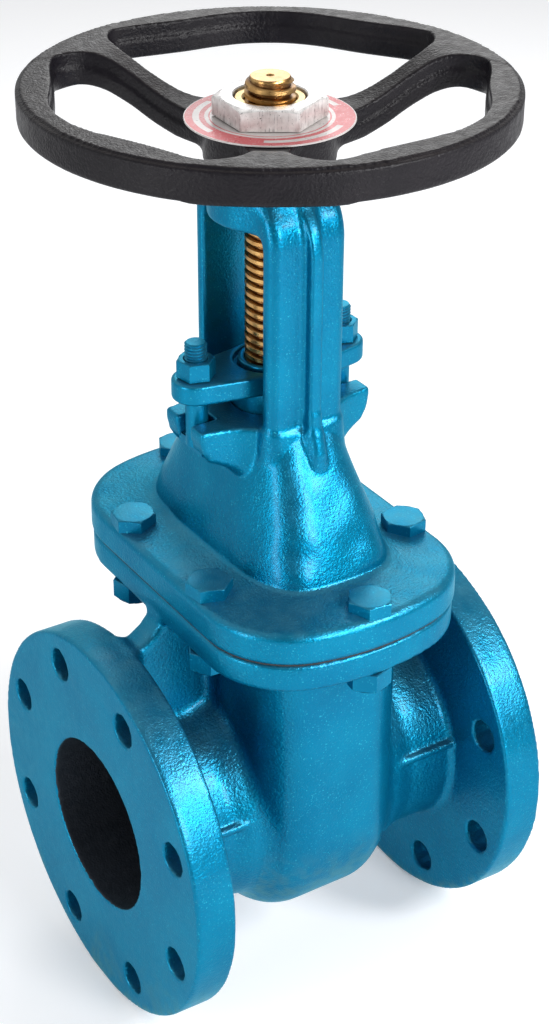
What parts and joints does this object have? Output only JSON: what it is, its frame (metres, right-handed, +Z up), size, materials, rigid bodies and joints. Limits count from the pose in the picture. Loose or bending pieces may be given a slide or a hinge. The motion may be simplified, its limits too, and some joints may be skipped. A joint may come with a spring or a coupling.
{
  "type": "gate valve",
  "caption": "Flanged gate valve with a bolted bonnet, an open yoke, a rising threaded stem and a spoked handwheel.",
  "frame": {"origin": "where the pipe axis meets the stem axis, at the middle of the bore", "axes": "+X along the pipe towards the outlet flange, +Z up the stem towards the handwheel, -Y towards the viewer"},
  "size_m": [0.249, 0.249, 0.5321],
  "materials": {
    "blue_paint": "metallic blue paint over rough cast iron",
    "black_enamel": "black satin enamel",
    "brass": "machined brass",
    "bronze": "machined bronze",
    "plated_steel": "bright zinc plate",
    "cast_iron": "raw cast iron",
    "graphite_packing": "braided graphite packing",
    "gasket_sheet": "compressed fibre sheet",
    "plate_print": "printed aluminium disc"
  },
  "bodies": {
    "valve_body": {"body": "blue_paint", "seat_ring_inlet": "bronze", "seat_ring_outlet": "bronze", "bonnet_gasket": "gasket_sheet", "bonnet": "blue_paint", "bonnet_bolt_1": "blue_paint", "bonnet_bolt_2": "blue_paint", "bonnet_bolt_3": "blue_paint", "bonnet_bolt_4": "blue_paint", "bonnet_bolt_5": "blue_paint", "bonnet_bolt_6": "blue_paint", "bonnet_nut_1": "blue_paint", "bonnet_nut_2": "blue_paint", "bonnet_nut_3": "blue_paint", "bonnet_nut_4": "blue_paint", "bonnet_nut_5": "blue_paint", "bonnet_nut_6": "blue_paint", "backseat_bush": "bronze", "packing_ring_1": "graphite_packing", "packing_ring_2": "graphite_packing", "packing_ring_3": "graphite_packing", "packing_ring_4": "graphite_packing", "gland": "blue_paint", "gland_bolt_left": "blue_paint", "gland_bolt_right": "blue_paint", "gland_nut_left": "blue_paint", "gland_nut_right": "blue_paint", "thrust_washer": "bronze", "sleeve_retainer": "plated_steel"},
    "drive": {"yoke_sleeve": "brass", "handwheel": "black_enamel", "handwheel_key": "plated_steel", "name_plate": "plate_print", "handwheel_nut": "plated_steel"},
    "stem_and_wedge": {"stem": "brass", "wedge": "cast_iron", "wedge_face_ring_inlet": "bronze", "wedge_face_ring_outlet": "bronze"}
  },
  "joints": [
    {"name": "handwheel_turn", "type": "hinge", "parent": "valve_body", "child": "drive", "pos_m": [0, 0, 0.385], "axis": [0, 0, 1], "range_deg": [0, 7776]},
    {"name": "stem_rise", "type": "slide", "parent": "valve_body", "child": "stem_and_wedge", "axis": [0, 0, 1], "range_m": [0, 0.10801]}
  ],
  "couplings": [
    {"joint": "stem_rise", "follows": "handwheel_turn", "m_per_rad": 0.00079577}
  ]
}
